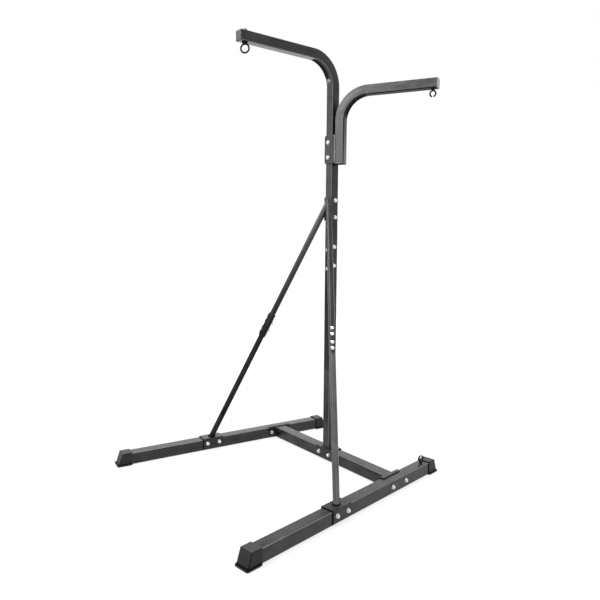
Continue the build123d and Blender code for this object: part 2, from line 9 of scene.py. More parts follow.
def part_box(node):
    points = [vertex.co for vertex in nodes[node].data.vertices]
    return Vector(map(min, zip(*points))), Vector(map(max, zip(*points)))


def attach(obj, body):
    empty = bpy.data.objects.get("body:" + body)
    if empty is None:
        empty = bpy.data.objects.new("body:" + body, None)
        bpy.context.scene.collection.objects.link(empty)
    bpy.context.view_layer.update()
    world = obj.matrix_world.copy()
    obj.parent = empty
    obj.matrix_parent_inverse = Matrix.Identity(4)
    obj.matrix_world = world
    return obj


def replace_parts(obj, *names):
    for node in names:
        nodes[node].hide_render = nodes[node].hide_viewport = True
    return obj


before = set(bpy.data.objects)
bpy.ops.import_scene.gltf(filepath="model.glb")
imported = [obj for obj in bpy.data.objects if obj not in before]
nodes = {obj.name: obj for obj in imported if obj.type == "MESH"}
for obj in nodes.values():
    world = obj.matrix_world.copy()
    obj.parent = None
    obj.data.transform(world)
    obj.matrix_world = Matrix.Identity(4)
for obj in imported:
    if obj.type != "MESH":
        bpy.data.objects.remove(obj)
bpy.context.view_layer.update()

# The camera stands ahead of the stand and to its left, a little above waist height, and looks
# slightly down at it through a 35 mm lens.
camera_place = Vector((1.7503, 2.3451, 1.2382))
camera_heading = math.radians(231.635)
camera_dip = math.radians(6.345)
camera_tilt = math.radians(0.37)
looking = Vector((
    math.cos(camera_heading) * math.cos(camera_dip),
    math.sin(camera_heading) * math.cos(camera_dip),
    -math.sin(camera_dip),
))
camera_data = bpy.data.cameras.new("camera")
camera_data.lens = 34.732
camera_data.clip_end = 100
camera = bpy.data.objects.new("camera", camera_data)
camera.location = camera_place
camera.rotation_mode = "QUATERNION"
camera.rotation_quaternion = looking.to_track_quat("-Z", "Y") @ Quaternion((0, 0, 1), camera_tilt)
bpy.context.scene.collection.objects.link(camera)
bpy.context.scene.camera = camera
bpy.context.scene.view_settings.view_transform = "Standard"


# The floor is a white studio sweep, wide enough for every side. It glows a little where it is
# seen, and more far off, so that it meets the backdrop without a line and still takes a shadow.
def fill(part, inputs):
    """Set the inputs of a shading part, or join them to the outputs of others."""
    for socket, value in inputs.items():
        if isinstance(value, bpy.types.NodeSocket):
            part.id_data.links.new(value, part.inputs[socket])
        else:
            part.inputs[socket].default_value = value
    return part


def add(tree, kind, inputs=None, **settings):
    """A new shading part with its settings and inputs."""
    part = tree.nodes.new("ShaderNode" + kind)
    for setting, value in settings.items():
        setattr(part, setting, value)
    return fill(part, inputs or {})


def calc(tree, operation, *values):
    """The result of a sum on shading values."""
    return add(tree, "Math", dict(enumerate(values)), operation=operation).outputs[0]


sweep = bpy.data.materials.new("white_sweep")
sweep.use_nodes = True
sweep_tree = sweep.node_tree
sweep_tree.nodes.clear()
sweep_place = add(sweep_tree, "TexCoord").outputs["Object"]
sweep_far = add(sweep_tree, "VectorMath", {0: sweep_place}, operation="LENGTH")
sweep_level = add(sweep_tree, "MapRange", {
    "Value": sweep_far.outputs["Value"], "From Min": 1.0, "From Max": 3.5,
    "To Min": 0.74, "To Max": 1.0,
})
sweep_glow = add(sweep_tree, "Emission", {"Strength": sweep_level.outputs["Result"]})
sweep_paint = add(sweep_tree, "BsdfDiffuse", {"Color": (0.32, 0.32, 0.32, 1)})
sweep_seen = add(sweep_tree, "AddShader", {0: sweep_paint.outputs[0], 1: sweep_glow.outputs[0]})
sweep_bounce = add(sweep_tree, "BsdfDiffuse", {"Color": (0.5, 0.5, 0.5, 1)})
sweep_ray = add(sweep_tree, "LightPath").outputs
sweep_sight = calc(
    sweep_tree, "MAXIMUM", sweep_ray["Is Camera Ray"], sweep_ray["Is Glossy Ray"]
)
sweep_choice = add(sweep_tree, "MixShader", {
    0: sweep_sight, 1: sweep_bounce.outputs[0], 2: sweep_seen.outputs[0],
})
add(sweep_tree, "OutputMaterial", {"Surface": sweep_choice.outputs[0]})
sweep_half = 60
floor_mesh = bpy.data.meshes.new("floor")
floor_mesh.from_pydata(
    [(x, y, 0) for x, y in ((-sweep_half, -sweep_half), (sweep_half, -sweep_half),
                            (sweep_half, sweep_half), (-sweep_half, sweep_half))],
    [], [(0, 1, 2, 3)],
)
floor_mesh.materials.append(sweep)
floor = bpy.data.objects.new("floor", floor_mesh)
bpy.context.scene.collection.objects.link(floor)

# The studio is a white room with soft light from all round. The camera, metal and glass see it
# as plain white, and eight soft boxes shape the tubes.
room = bpy.data.worlds.new("white_room")
bpy.context.scene.world = room
room.use_nodes = True
room_tree = room.node_tree
room_light = fill(room_tree.nodes["Background"], {"Color": (1, 1, 1, 1), "Strength": 0.28})
room_white = add(room_tree, "Background", {"Color": (1, 1, 1, 1), "Strength": 1.0})
room_ray = add(room_tree, "LightPath").outputs
room_near = calc(room_tree, "MAXIMUM", room_ray["Is Camera Ray"], room_ray["Is Glossy Ray"])
room_sight = calc(room_tree, "MAXIMUM", room_near, room_ray["Is Transmission Ray"])
room_choice = add(room_tree, "MixShader", {
    0: room_sight, 1: room_light.outputs[0], 2: room_white.outputs[0],
})
fill(room_tree.nodes["World Output"], {"Surface": room_choice.outputs[0]})


def soft_box(name, place, aim, width, height, power):
    light = bpy.data.lights.new(name, "AREA")
    light.shape = "RECTANGLE"
    light.size = width
    light.size_y = height
    light.energy = power
    lamp = bpy.data.objects.new(name, light)
    lamp.location = place
    lamp.rotation_mode = "QUATERNION"
    lamp.rotation_quaternion = (Vector(aim) - Vector(place)).to_track_quat("-Z", "Y")
    lamp.visible_camera = False
    bpy.context.scene.collection.objects.link(lamp)


soft_box("key_light", (2.3, -0.4, 3.3), (-0.3, 0, 1.4), 1.8, 1.8, 56)
soft_box("top_light", (-0.6, 0.4, 5.0), (-0.2, 0, 0.4), 3.0, 3.0, 120)
soft_box("side_light", (0.6, 4.0, 2.4), (-0.3, 0.1, 1.6), 1.6, 1.6, 5)
soft_box("post_light", (1.75, -2.35, 2.05), (-0.3, 0, 1.65), 1.0, 1.0, 4)
soft_box("arm_light", (2.8, 0.55, 2.1), (-0.3, 0.1, 1.7), 1.0, 1.0, 5)
soft_box("bend_light", (1.15, -2.2, 3.4), (-0.3, 0, 2.0), 0.6, 0.6, 16)
soft_box("brace_light", (-0.5, 3.0, 0.5), (-0.1, 0.4, 0.5), 1.6, 1.0, 6)
soft_box("rim_light", (-3.6, -4.6, 1.0), (-0.2, -0.2, 0.3), 7, 1.8, 30)


# Floor rails: 63 mm square steel tube, drilled and sprayed with satin black powder. The coat has
# a fine orange peel and goes dull along the tube's draw streaks. A painted highlight pales the
# corners, and faces turned up are mixed a little towards a pale warm grey.
def new_finish(name):
    material = bpy.data.materials.new(name)
    material.use_nodes = True
    return material, material.node_tree, material.node_tree.nodes["Principled BSDF"]


def mix(tree, share, first, second):
    """A colour between two others."""
    blended = add(tree, "Mix", {"Factor": share, "A": first, "B": second}, data_type="RGBA")
    return blended.outputs["Result"]


def ranged(tree, value, low, high, first, last):
    """A value moved from one range to another."""
    moved = add(tree, "MapRange", {
        "Value": value, "From Min": low, "From Max": high, "To Min": first, "To Max": last,
    })
    return moved.outputs["Result"]


def faces(tree, course):
    """How squarely the surface faces one way: 1 when it does, and -1 when it faces away."""
    facing = add(tree, "NewGeometry").outputs["Normal"]
    squarely = add(tree, "VectorMath", {0: facing, 1: course}, operation="DOT_PRODUCT")
    return squarely.outputs["Value"]


def place_of(tree):
    return add(tree, "TexCoord").outputs["Object"]


def noise(tree, place, scale, **detail):
    return add(tree, "TexNoise", {"Vector": place, "Scale": scale, **detail}).outputs["Fac"]


def toned(tone, level=1.0):
    return tuple(min(1, level * c) for c in tone) + (1,)


straight_up = (0, 0, 1)
streak_size = (0.14, 0.005, 0.005)
painted_highlight_grey = (0.34, 0.34, 0.34, 1)


def powder_coat(name, tone, gloss, course, flat=None, dull=0.35):
    """Powder coat with its streaks along a course, and a painted highlight on the corners beside
    the flat side.
    """
    material, tree, shader = new_finish(name)
    place = place_of(tree)
    drawn = add(tree, "Mapping", {
        "Vector": place, "Rotation": course, "Scale": streak_size,
    }, vector_type="TEXTURE")
    streaks = add(tree, "TexNoise", {
        "Vector": drawn.outputs[0], "Scale": 1, "Detail": 6, "Roughness": 0.7,
    })
    streaks.name = "streaks"
    streak = streaks.outputs["Fac"]
    mottle = calc(tree, "MULTIPLY_ADD", noise(tree, place, 18, Detail=7), 0.35, streak)
    coat = mix(tree, ranged(tree, mottle, 0.5, 0.85, 0, 1), toned(tone, 0.45), toned(tone, 1.6))
    # Painted highlight: the corners beside the flat side are mixed towards pale grey along the
    # streaks.
    if flat:
        squared = calc(tree, "POWER", faces(tree, flat), 2.0)
        corner_gap = calc(tree, "ABSOLUTE", calc(tree, "SUBTRACT", squared, 0.5))
        corner_highlight = calc(tree, "MULTIPLY", ranged(tree, corner_gap, 0.42, 0.15, 0, 1.3), streak)
        coat = mix(tree, corner_highlight, coat, painted_highlight_grey)
    # Faces turned up are mixed a little towards a pale warm grey, which lifts the tops.
    pale_on_top = ranged(tree, faces(tree, straight_up), 0.4, 1, 0, 0.02)
    peel = noise(tree, place, 650)
    peeled = add(tree, "Bump", {"Height": peel, "Strength": 0.6, "Distance": 0.00009})
    streaked = add(tree, "Bump", {
        "Height": streak, "Strength": 0.5, "Distance": 0.0002, "Normal": peeled.outputs[0],
    })
    fill(shader, {
        "Base Color": mix(tree, pale_on_top, coat, (0.5, 0.48, 0.45, 1)),
        "Metallic": ranged(tree, mottle, 0.55, 0.72, dull, 0),
        "Specular IOR Level": 0.42,
        "Roughness": ranged(tree, mottle, 0.5, 0.85, gloss - 0.08, gloss + 0.08),
        "Normal": streaked.outputs[0],
    })
    return material


def dress(material, *names):
    """Give CAD nodes their finish."""
    for name in names:
        slots = nodes[name].data.materials
        slots.clear()
        slots.append(material)


splay = math.radians(7.6)
sides = ((1, "left"), (-1, "right"))
coat_black = (0.022, 0.022, 0.0225)
for side, side_name in sides:
    rail_turn = (0, 0, side * splay)
    rail_coat = powder_coat(f"{side_name}_rail_coat", coat_black, 0.25, rail_turn, straight_up)
    dress(rail_coat, f"{side_name}_rail")


# Feet: caps moulded in black rubber and pressed over the rails' ends. The skin is matt and a
# little cloudy. Painted shade darkens the mouth, the upright corners, the crease over the lip and
# the floor edge, and a painted highlight lightens the lip between them.
def height_of(tree):
    return add(tree, "SeparateXYZ", {0: place_of(tree)}).outputs["Z"]


def grey(level):
    return (level, level, level)


def rail_courses(side):
    """The way a rail runs ahead, and the way across it to the left."""
    return (
        Vector((math.cos(splay), side * math.sin(splay), 0)),
        Vector((-side * math.sin(splay), math.cos(splay), 0)),
    )


def foot_rubber(side, side_name):
    material, tree, shader = new_finish(f"{side_name}_foot_rubber")
    course, abreast = rail_courses(side)
    place = place_of(tree)
    height = height_of(tree)
    cloud = noise(tree, place, 45, Detail=6)
    skin = mix(tree, cloud, toned(grey(0.016)), toned(grey(0.042)))
    # Faces turned up are mixed a little towards a pale warm grey, which lifts the tops.
    pale_on_top = ranged(tree, faces(tree, straight_up), 0.6, 1, 0, 0.065)
    skin = mix(tree, pale_on_top, skin, (0.5, 0.49, 0.48, 1))
    by_height = add(tree, "ValToRGB", {"Fac": ranged(tree, height, 0, 0.03, 0, 1)})
    steps = by_height.color_ramp.elements
    steps[0].color = (0.15, 0.15, 0.15, 1)
    # Painted light and shade on the skin at the floor, on the lip, in the crease and on the wall.
    for spot, level in (
        (0.1, 0.25), (0.15, 1.9), (0.22, 1.9), (0.28, 0.1), (0.35, 0.1), (0.5, 0.8),
    ):
        steps.new(spot).color = (level, level, level, 1)
    # Painted shade in the mouth and down the upright corners.
    squarely_ahead = calc(tree, "ABSOLUTE", faces(tree, course))
    mouth = ranged(tree, squarely_ahead, 0.985, 0.995, 1.0, 0.08)
    on_lip = ranged(tree, height, 0.01, 0.012, 1.0, 0.0)
    flank = calc(tree, "ABSOLUTE", faces(tree, abreast))
    corner_gap = calc(tree, "ABSOLUTE", calc(tree, "SUBTRACT", flank, 0.55))
    corner = ranged(tree, corner_gap, 0.2, 0.38, 0.3, 1.0)
    painted_light_share = calc(tree, "MULTIPLY", calc(tree, "MAXIMUM", mouth, on_lip), corner)
    lit = calc(tree, "MULTIPLY", by_height.outputs["Color"], painted_light_share)
    skin = mix(tree, ranged(tree, lit, 1, 2, 0, 1), skin, (0.1, 0.1, 0.1, 1))
    pores = noise(tree, place, 900)
    grain = add(tree, "Bump", {"Height": pores, "Strength": 0.5, "Distance": 0.00012})
    # Where the painted light is low, the skin turns near black with no reflection, as painted
    # shade.
    fill(shader, {
        "Base Color": mix(tree, lit, toned(grey(0.002)), skin),
        "Metallic": ranged(tree, lit, 0, 1, 1, 0),
        "Specular IOR Level": 0.22,
        "Roughness": ranged(tree, cloud, 0, 1, 0.4, 0.62),
        "Normal": grain.outputs[0],
    })
    return material


for side, side_name in sides:
    dress(foot_rubber(side, side_name), f"{side_name}_front_foot", f"{side_name}_rear_foot")


# Cross bar and end brackets: the same tube, welded at both ends to a 5 mm plate that is bent
# over the rail. A plate's sawn edges go near black with their reflection taken away: partly the
# thin dark coat there, partly painted shade along the edge.
def recoat(material, share, colour, dulled=True):
    """Lay a colour over part of a coat, and take the shine off it there."""
    tree = material.node_tree
    shader = tree.nodes["Principled BSDF"]
    coat = shader.inputs["Base Color"].links[0].from_socket
    fill(shader, {"Base Color": mix(tree, share, coat, colour)})
    if dulled:
        dullness = shader.inputs["Metallic"].links[0].from_socket
        fill(shader, {"Metallic": calc(tree, "MAXIMUM", dullness, share)})


def plate_coat(name, course, *edge_courses, tone=(0.028, 0.028, 0.0285), dull=0.35):
    material = powder_coat(name, tone, 0.33, course, None, dull)
    tree = material.node_tree
    # Painted shade, partly the thin coat: edges facing these courses go near black and lose their
    # reflection.
    sawn = 0.0
    for edge_course in edge_courses:
        squarely = calc(tree, "ABSOLUTE", faces(tree, edge_course))
        sawn = calc(tree, "MAXIMUM", sawn, ranged(tree, squarely, 0.9, 0.97, 0, 1))
    recoat(material, sawn, toned(grey(0.003)))
    return material


def skin_over(mesh, rings, closed=False):
    """Join rings of points with a skin, and close both ends unless the rings meet."""
    rows = [[mesh.verts.new(point) for point in ring] for ring in rings]
    following = rows[1:] + rows[:1] if closed else rows[1:]
    for row, after in zip(rows, following):
        for index, corner in enumerate(row):
            beside = (index + 1) % len(row)
            mesh.faces.new((corner, row[beside], after[beside], after[index]))
    if not closed:
        mesh.faces.new(list(reversed(rows[0])))
        mesh.faces.new(rows[-1])


def make_piece(name, mesh, coat, body="stand"):
    """Finish a mesh into a piece that rides on a body."""
    bmesh.ops.recalc_face_normals(mesh, faces=mesh.faces)
    data = bpy.data.meshes.new(name)
    mesh.to_mesh(data)
    mesh.free()
    for face in data.polygons:
        face.use_smooth = True
    data.set_sharp_from_angle(angle=math.radians(38))
    data.materials.append(coat)
    piece = bpy.data.objects.new(name, data)
    bpy.context.scene.collection.objects.link(piece)
    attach(piece, body)
    return piece


def weld_bead(name, path, thick, closed=True, coat=None):
    """A run of small overlapping scales along a joint."""
    scale_pitch, corners_round = 0.0026, 8
    corners = path + path[:1] if closed else path
    steps = []
    for start, end in zip(corners, corners[1:]):
        cuts = max(1, round((end - start).length / (scale_pitch / 4)))
        steps += [start.lerp(end, cut / cuts) for cut in range(cuts)]
    if not closed:
        steps.append(corners[-1])
    rings = []
    travel = 0.0
    across = None
    for index, point in enumerate(steps):
        ahead = steps[(index + 1) % len(steps)] if closed or index + 1 < len(steps) else point
        behind = steps[index - 1] if closed or index else point
        course = (ahead - behind).normalized()
        across = course.orthogonal() if across is None else across - course * across.dot(course)
        across.normalize()
        over = course.cross(across)
        travel += (ahead - point).length
        reach = thick * (0.88 + 0.2 * abs(math.sin(math.pi * travel / scale_pitch)))
        turns = [2 * math.pi * corner / corners_round for corner in range(corners_round)]
        rings.append([
            point + across * (math.cos(turn) * reach) + over * (math.sin(turn) * reach)
            for turn in turns
        ])
    mesh = bmesh.new()
    skin_over(mesh, rings, closed)
    return make_piece(name, mesh, coat or weld_coat)


def square_outline(half, corner, flat_cuts=1):
    """Points round a rounded square, with each flat cut into equal lengths."""
    corner_cuts = 5
    flat = half - corner
    points = []
    for quarter in range(4):
        quarter_turn = Matrix.Rotation(math.pi / 2 * quarter, 2)
        arc = [
            Vector((flat + corner * math.cos(turn), flat + corner * math.sin(turn)))
            for turn in (math.pi / 2 * step / corner_cuts for step in range(corner_cuts + 1))
        ]
        flat_end = Vector((-flat, half))
        arc += [arc[-1].lerp(flat_end, cut / flat_cuts) for cut in range(1, flat_cuts)]
        points += [quarter_turn @ point for point in arc]
    return points


weld_coat = powder_coat("weld_coat", (0.022, 0.022, 0.023), 0.3, (0, 0, 0))
upright = (0, math.radians(90), 0)
crosswise = (0, 0, math.radians(90))
cross_bar_coat = powder_coat("cross_bar_coat", grey(0.015), 0.25, crosswise, straight_up, 0.55)
dress(cross_bar_coat, "cross_bar")
rail_half = 0.0315
rail_corner = 0.006
rail_level = 0.0335
rail_spread = 0.49
plate = 0.005
post_low, post_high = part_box("lower_post")
post_x = (post_low[0] + post_high[0]) / 2
seam_end = -0.024
for side, side_name in sides:
    rail_course = rail_courses(side)[0]
    bracket_coat = plate_coat(
        f"{side_name}_bracket_coat", (0, 0, side * splay), rail_course,
        tone=(0.019, 0.019, 0.0192), dull=0.55,
    )
    dress(bracket_coat, f"{side_name}_end_bracket")
    seam = [Vector((-rail_half, seam_end))]
    seam += [point for point in square_outline(rail_half, rail_corner) if point.y > 0][::-1]
    seam += [Vector((rail_half, seam_end))]
    face = rail_spread - (rail_half + plate) / math.cos(splay)
    seam_path = [
        Vector((post_x + point.x, side * (face + point.x * math.tan(splay)), rail_level + point.y))
        for point in seam
    ]
    weld_bead(f"{side_name}_bracket_weld", seam_path, 0.0028, closed=False)

# Post saddle and lower post: a plate folded over the cross bar and bolted through it, with the
# 48 mm square post welded upright on it, all round its foot. The weld bead round the foot is
# coated near black as painted shade.
leftwards = (0, 1, 0)
saddle_coat = plate_coat("post_saddle_coat", crosswise, leftwards, tone=grey(0.014), dull=0.7)
dress(saddle_coat, "post_saddle")
forwards = (1, 0, 0)
post_coat = powder_coat("post_coat", (0.027, 0.027, 0.0275), 0.25, upright, forwards)
dress(post_coat, "lower_post")
post_half = 0.024
post_corner = 0.004
foot_seam = [
    Vector((post_x + point.x, point.y, post_low[2] + 0.0012))
    for point in square_outline(post_half + 0.001, post_corner)
]
# Painted shade: the foot weld is coated near black with no reflection.
foot_weld_shade_coat = powder_coat("foot_weld_shade_coat", grey(0.006), 0.4, (0, 0, 0), None, 1.0)
weld_bead("post_foot_weld", foot_seam, 0.0042, True, foot_weld_shade_coat)

# Upper post and main arm: one square tube pressed to a right angle at its top. The press leaves
# the inner wall of the bend dished and its sides a little full. The dish is painted into shade,
# with a painted highlight at its foot. A sleeve joins it to the post, and painted shade darkens
# the front of both tubes where the braces stand before them.
arm_bend = 0.145
arm_top = 2.1715
arm_reach = 0.576
joint_height = post_high[2]


def bent_coat(name, tone, gloss, course, bend_height, dull=0.35):
    """Powder coat whose draw streaks turn with the tube at its bend."""
    side_flat = (-math.sin(course), math.cos(course), 0)
    material = powder_coat(name, tone, gloss, upright, side_flat, dull)
    tree = material.node_tree
    along = add(tree, "Mapping", {
        "Vector": place_of(tree), "Rotation": (0, 0, course), "Scale": streak_size,
    }, vector_type="TEXTURE")
    streaks = tree.nodes["streaks"]
    standing = streaks.inputs["Vector"].links[0].from_socket
    turning = add(tree, "Mix", {
        "Factor": ranged(tree, height_of(tree), bend_height - 0.06, bend_height + 0.06, 0, 1),
        "A": standing, "B": along.outputs[0],
    }, data_type="VECTOR")
    fill(streaks, {"Vector": turning.outputs["Result"]})
    return material


tube_flat_cuts = 10


def bent_tube(name, foot, heading, low, top, reach, coat):
    """A square tube up from its foot, round its bend and out along its course."""
    course = Vector((math.cos(heading), math.sin(heading), 0))
    up = Vector((0, 0, 1))
    abreast = up.cross(course)
    dish, fullness, end_length = 0.0075, 0.0011, 0.02
    lower_end, upper_end, settling = math.radians(12), math.radians(87), math.radians(9)
    bend_steps = 54
    stations = [(foot + up * place, -course, 0.0) for place in (low, low + end_length)]
    middle = foot + course * arm_bend + up * (top - post_half - arm_bend)
    for step in range(bend_steps + 1):
        turn = math.pi / 2 * step / bend_steps
        outward = up * math.sin(turn) - course * math.cos(turn)
        share = min(1.0, (turn - lower_end) / settling, (upper_end - turn) / settling)
        pressed = max(0.0, share) ** 2 * (3 - 2 * share)
        stations.append((middle + outward * arm_bend, outward, pressed))
    arm_line = foot + up * (top - post_half)
    stations += [(arm_line + course * place, up, 0.0) for place in (reach - end_length, reach)]
    flat = post_half - post_corner
    outline = square_outline(post_half, post_corner, tube_flat_cuts)
    rings = []
    for centre, outward, pressed in stations:
        ring = []
        for point in outline:
            out, over = point
            if abs(over) < flat and out < -flat:
                out += dish * pressed * math.cos(math.pi / 2 * over / flat) ** 1.3
            if abs(over) < flat and out > flat:
                out -= 0.15 * dish * pressed * math.cos(math.pi / 2 * over / flat)
            if abs(out) < flat and abs(over) > flat:
                swell = max(0.0, math.cos(math.pi / 2 * (out + 0.4 * flat) / flat))
                over += math.copysign(fullness * pressed * swell, over)
            ring.append(centre + outward * out + abreast * over)
        rings.append(ring)
    mesh = bmesh.new()
    skin_over(mesh, rings)
    return make_piece(name, mesh, coat)


def coat_inner_wall(piece, coat, rows, places=range(20)):
    """Coat part of a bent tube's inner wall, by its rows along it and its places across it."""
    around = len(square_outline(post_half, post_corner, tube_flat_cuts))
    piece.data.materials.append(coat)
    for row in rows:
        for place in places:
            face = piece.data.polygons[row * around + around // 4 + place]
            face.material_index = len(piece.data.materials) - 1


def with_shine(material, level):
    """A coat with its shine set to a level."""
    fill(material.node_tree.nodes["Principled BSDF"], {"Specular IOR Level": level})
    return material


def shaded_coat(name, tone, level):
    """A dark coat with its shine set: painted shade in the dish of a bend, in corners and seams,
    and the eyes' black.
    """
    return with_shine(powder_coat(name, tone, 0.5, upright), level)


def paint_front_shade(coat, low, high, depth):
    """Paint shade on the front of a tube from one height to another, where the braces stand before
    it.
    """
    tree = coat.node_tree
    height, fade = height_of(tree), 0.02
    front = ranged(tree, faces(tree, forwards), 0.45, 0.85, 0, depth)
    above = ranged(tree, height, low, low + fade, 0, 1)
    below = ranged(tree, height, high - fade, high, 1, 0)
    shade = calc(tree, "MULTIPLY", front, calc(tree, "MULTIPLY", above, below))
    recoat(coat, shade, toned(grey(0.004)))


round_cuts = 48


def cut_through(piece, place, radius, low, high):
    """Drill an upright hole in a piece."""
    turns = [2 * math.pi * step / round_cuts for step in range(round_cuts)]
    spokes = [(radius * math.cos(turn), radius * math.sin(turn)) for turn in turns]
    rings = [[place + Vector((x, y, height)) for x, y in spokes] for height in (low, high)]
    mesh = bmesh.new()
    skin_over(mesh, rings)
    bmesh.ops.recalc_face_normals(mesh, faces=mesh.faces)
    drill_mesh = bpy.data.meshes.new("drill")
    mesh.to_mesh(drill_mesh)
    mesh.free()
    drill = bpy.data.objects.new("drill", drill_mesh)
    bpy.context.scene.collection.objects.link(drill)
    hole = piece.modifiers.new("hole", "BOOLEAN")
    hole.operation = "DIFFERENCE"
    hole.object = drill
    drilled = piece.evaluated_get(bpy.context.evaluated_depsgraph_get())
    solid_mesh = piece.data
    piece.data = bpy.data.meshes.new_from_object(drilled)
    piece.modifiers.clear()
    bpy.data.meshes.remove(solid_mesh)
    bpy.data.objects.remove(drill)
    bpy.data.meshes.remove(drill_mesh)


post_line = Vector((post_x, 0, 0))
main_arm_coat = bent_coat("main_arm_coat", coat_black, 0.25, 0.0, arm_top - 0.1)
# Painted shade on the front of the tubes behind the braces.
paint_front_shade(main_arm_coat, joint_height - 0.02, 1.33, 1.0)
paint_front_shade(post_coat, 0.5, joint_height + 0.03, 0.5)
main_arm = bent_tube("bent_post", post_line, 0.0, joint_height, arm_top, arm_reach, main_arm_coat)
# Painted shade in the dish of the bend, and a painted highlight at its foot.
dish_coat = shaded_coat("dish_coat", grey(0.012), 0.12)
coat_inner_wall(main_arm, dish_coat, range(15, 52), range(11, 20))
dish_highlight_coat = powder_coat("dish_highlight_coat", (0.2, 0.2, 0.202), 0.28, upright)
coat_inner_wall(main_arm, dish_highlight_coat, range(9, 15), range(10, 20))
main_eye_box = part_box("main_eye_washer")
main_eye_line = Vector((
    (main_eye_box[0][0] + main_eye_box[1][0]) / 2, (main_eye_box[0][1] + main_eye_box[1][1]) / 2, 0,
))
eye_hole = 0.0061
cut_through(main_arm, main_eye_line, eye_hole, arm_top - 0.06, arm_top + 0.01)
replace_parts(main_arm, "upper_post")


def metal(name, tone, gloss):
    material, tree, shader = new_finish(name)
    cloud = noise(tree, place_of(tree), 320, Detail=4)
    fill(shader, {
        "Metallic": 1.0,
        "Base Color": mix(tree, cloud, toned(tone, 0.88), toned(tone, 1.06)),
        "Roughness": ranged(tree, cloud, 0, 1, gloss - 0.07, gloss + 0.07),
    })
    return material


bare_steel = metal("bare_steel", (0.45, 0.45, 0.46), 0.4)
dress(bare_steel, "splice_sleeve")


# Tube plugs: bevelled caps of moulded plastic, pressed into the arms' ends. The main arm's is
# grey, and the second arm's two are nearly white; the one at its foot has its underside painted
# near black as shade.
def moulded_plastic(name, tone, level=0.5, shaded_underside=False):
    material, tree, shader = new_finish(name)
    place = place_of(tree)
    cloud = noise(tree, place, 60, Detail=5)
    colour = mix(tree, cloud, toned(tone, 0.9), toned(tone, 1.1))
    # Painted shade: the underside is painted near black.
    if shaded_underside:
        underside = ranged(tree, faces(tree, straight_up), -0.2, -0.5, 0, 1)
        colour = mix(tree, underside, colour, toned(grey(0.004)))
    spark = noise(tree, place, 1100)
    grain = add(tree, "Bump", {"Height": spark, "Strength": 0.4, "Distance": 0.0001})
    fill(shader, {
        "Base Color": colour,
        "Specular IOR Level": level,
        "Roughness": ranged(tree, cloud, 0, 1, 0.42, 0.52),
        "Normal": grain.outputs[0],
    })
    return material


dress(moulded_plastic("grey_plastic", (0.034, 0.034, 0.035), 0.35), "main_arm_plug")
dress(moulded_plastic("light_plastic", (0.6, 0.6, 0.61)), "second_arm_tip_plug")
dress(moulded_plastic("foot_plug_plastic", (0.55, 0.55, 0.56), 0.0, True), "second_arm_foot_plug")

# Second arm: a shorter pressed tube that stands beside the post, corner on. Two cheeks are
# welded down its sides and clasp the post, which their bolts go through. Its coat is set paler
# as painted light, its inner wall is painted into shade below the bend, and the welds down the
# cheeks carry a painted highlight.
second_heading = math.radians(117.3)
second_low, second_high, second_reach = 1.613, 1.9935, 0.492
second_back, second_gap = 0.005, 0.004
second_course = Vector((math.cos(second_heading), math.sin(second_heading), 0))
second_abreast = Vector((-math.sin(second_heading), math.cos(second_heading), 0))
second_foot = Vector((
    post_x - second_back,
    post_half + second_gap + post_half * (abs(second_course.x) + abs(second_course.y)),
    0,
))
# Painted light: this coat is set about five times paler than the rails' for the light on the second
# arm.
second_arm_coat = bent_coat(
    "second_arm_coat", (0.11, 0.11, 0.111), 0.27, second_heading, second_high - 0.1, 0.6
)
second_arm = bent_tube(
    "bent_second_arm", second_foot, second_heading, second_low, second_high, second_reach,
    second_arm_coat,
)
# Painted shade: the inner wall is paler low down and goes near black upward into the bend; its
# corner and dish are painted shade too.
second_wall_coat = powder_coat("second_wall_coat", (0.17, 0.17, 0.171), 0.27, upright, None, 0.6)
wall_tree = second_wall_coat.node_tree
wall_shade = ranged(wall_tree, height_of(wall_tree), 1.65, 1.79, 0, 1)
recoat(second_wall_coat, wall_shade, toned(grey(0.006)), dulled=False)
coat_inner_wall(second_arm, with_shine(second_wall_coat, 0.15), range(0, 8))
corner_shade = shaded_coat("corner_shade", grey(0.01), 0.1)
coat_inner_wall(second_arm, corner_shade, range(0, 8), range(16, 20))
second_dish_coat = shaded_coat("second_dish_coat", grey(0.012), 0.05)
coat_inner_wall(second_arm, second_dish_coat, range(8, 58))
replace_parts(second_arm, "second_arm")
cheek_coat = plate_coat(
    "cheek_coat", upright, straight_up, leftwards, tone=(0.03, 0.03, 0.0305)
)
dress(cheek_coat, "clasp_front_cheek", "clasp_rear_cheek")
# Painted highlight: the welds down the cheeks are coated pale grey.
cheek_weld_highlight_coat = powder_coat("cheek_weld_highlight_coat", (0.3, 0.3, 0.302), 0.3, upright)
cheek_low, cheek_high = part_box("clasp_front_cheek")
front_x = post_x + post_half + plate
front_y = second_foot.y - (
    post_half + (front_x - second_foot.x) * second_course.x
) / second_course.y
rear_x = post_x - post_half - plate
rear_y = second_foot.y + (
    post_half - (rear_x - second_foot.x) * second_abreast.x
) / second_abreast.y
cheek_seams = (("front_cheek_weld", front_x, front_y), ("rear_cheek_weld", rear_x, rear_y))
for seam_name, x, y in cheek_seams:
    seam_path = [Vector((x, y, z)) for z in (cheek_low[2] + 0.005, cheek_high[2] - 0.005)]
    weld_bead(seam_name, seam_path, 0.0026, False, cheek_weld_highlight_coat)

